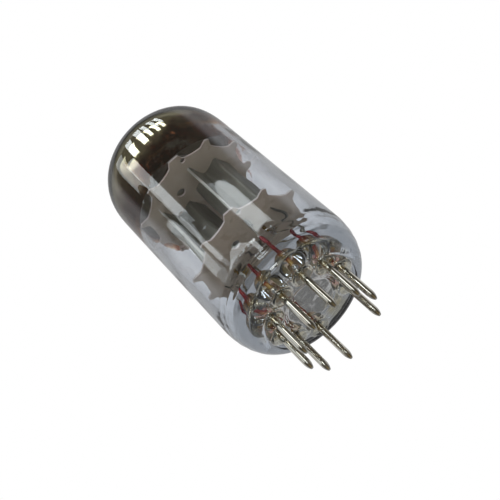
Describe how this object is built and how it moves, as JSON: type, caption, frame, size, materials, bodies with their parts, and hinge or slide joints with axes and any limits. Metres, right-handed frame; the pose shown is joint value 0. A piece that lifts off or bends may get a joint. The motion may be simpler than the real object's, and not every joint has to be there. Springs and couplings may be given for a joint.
{
  "type": "vacuum tube",
  "caption": "Miniature glass double-triode vacuum tube on a ring of base pins, with toothed micas, finned anodes and a silvered dome.",
  "frame": {"origin": "on the tube's axis, in the plane of the pin tips", "axes": "+Z along the tube towards the exhaust tip, X through the two triodes, +Y through the gap in the ring of pins"},
  "size_m": [0.0218, 0.0218, 0.0512],
  "materials": {
    "glass": "clear polished soda glass, faintly blue-grey at its edges",
    "pin_nickel": "bright nickel, slightly drawn along the pin, darker at the tips",
    "seal_wire": "borated copper-clad wire, glossy burgundy red",
    "lead_nickel": "dull drawn nickel",
    "mica": "smooth brown-grey split mica with pale cut edges",
    "anode": "dark grey carbonised nickel sheet",
    "grid_wire": "drawn wire",
    "heater": "matt white insulating coating",
    "getter": "dark evaporated metal, mirror bright on the dome and brown at its thin edge"
  },
  "bodies": {
    "root": {"glass_bulb": "glass", "glass_button": "glass", "pin_1": "pin_nickel", "pin_2": "pin_nickel", "pin_3": "pin_nickel", "pin_4": "pin_nickel", "pin_5": "pin_nickel", "pin_6": "pin_nickel", "pin_7": "pin_nickel", "pin_8": "pin_nickel", "pin_9": "pin_nickel", "seal_wire_1": "seal_wire", "seal_wire_2": "seal_wire", "seal_wire_3": "seal_wire", "seal_wire_4": "seal_wire", "seal_wire_5": "seal_wire", "seal_wire_6": "seal_wire", "seal_wire_7": "seal_wire", "seal_wire_8": "seal_wire", "seal_wire_9": "seal_wire", "lead_1": "lead_nickel", "lead_2": "lead_nickel", "lead_3": "lead_nickel", "lead_4": "lead_nickel", "lead_5": "lead_nickel", "lead_6": "lead_nickel", "lead_7": "lead_nickel", "lead_8": "lead_nickel", "lead_9": "lead_nickel", "heater_link": "lead_nickel", "cathode_left": "lead_nickel", "cathode_right": "lead_nickel", "getter_support": "lead_nickel", "mica_lower": "mica", "mica_upper": "mica", "anode_left_inner": "anode", "anode_left_outer": "anode", "anode_right_inner": "anode", "anode_right_outer": "anode", "grid_left": "grid_wire", "grid_right": "grid_wire", "heater_left": "heater", "heater_right": "heater", "getter_ring": "getter"}
  },
  "joints": []
}
